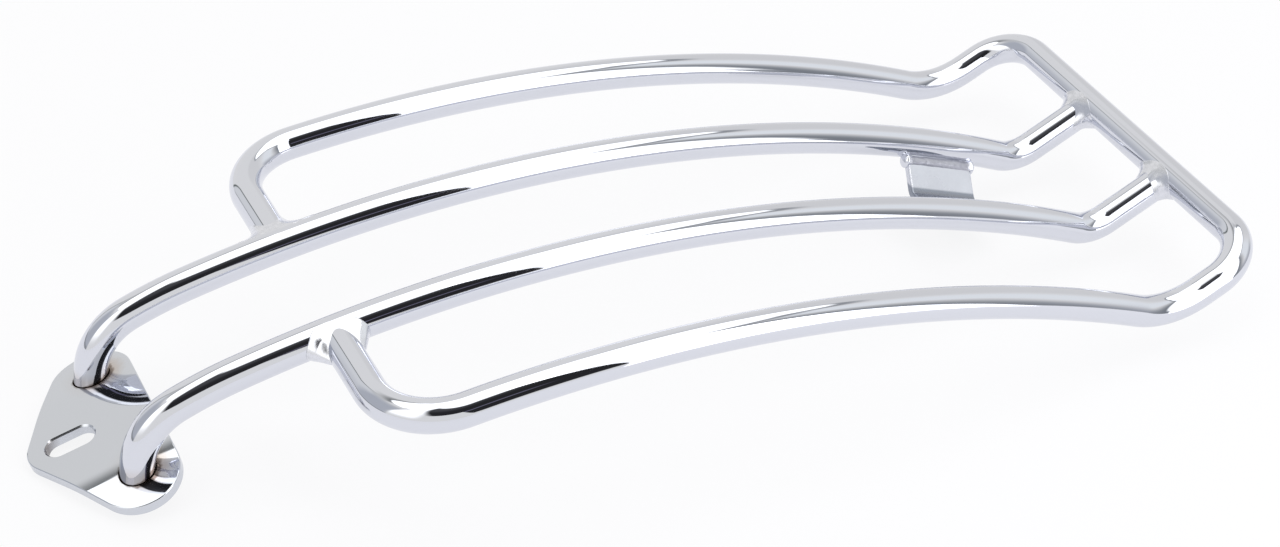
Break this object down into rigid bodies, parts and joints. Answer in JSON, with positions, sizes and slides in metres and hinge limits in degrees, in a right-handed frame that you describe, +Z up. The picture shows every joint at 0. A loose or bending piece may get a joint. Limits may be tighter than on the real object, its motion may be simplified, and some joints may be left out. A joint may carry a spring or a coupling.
{
  "type": "motorcycle luggage rack",
  "caption": "Chromed bar luggage rack for behind a solo seat: an outer hoop and inner rails that arch and kick up at the rear, on a slotted front plate and a rear bolt tab.",
  "frame": {"origin": "middle of the front plate's underside, between the two rail holes", "axes": "+X rearwards along the bike, +Y to the bike's right, +Z up; on a flat floor the rack lies within two degrees of this"},
  "size_m": [0.4725, 0.1912, 0.0674],
  "materials": {
    "chromed_bar": "bright polished chrome plate on steel bar",
    "chromed_plate": "polished chrome plate on flat steel, straw-brown heat tint at the welded holes",
    "chromed_weld": "chrome plate over rough weld beads"
  },
  "bodies": {
    "root": {"outer_hoop": "chromed_bar", "left_inner_rail": "chromed_bar", "right_inner_rail": "chromed_bar", "front_plate": "chromed_plate", "rear_tab": "chromed_plate", "left_leg_weld": "chromed_weld", "right_leg_weld": "chromed_weld", "left_crossbar_weld": "chromed_weld", "right_crossbar_weld": "chromed_weld", "left_plate_weld": "chromed_weld", "right_plate_weld": "chromed_weld", "tab_inner_weld": "chromed_weld", "tab_outer_weld": "chromed_weld"}
  },
  "joints": []
}
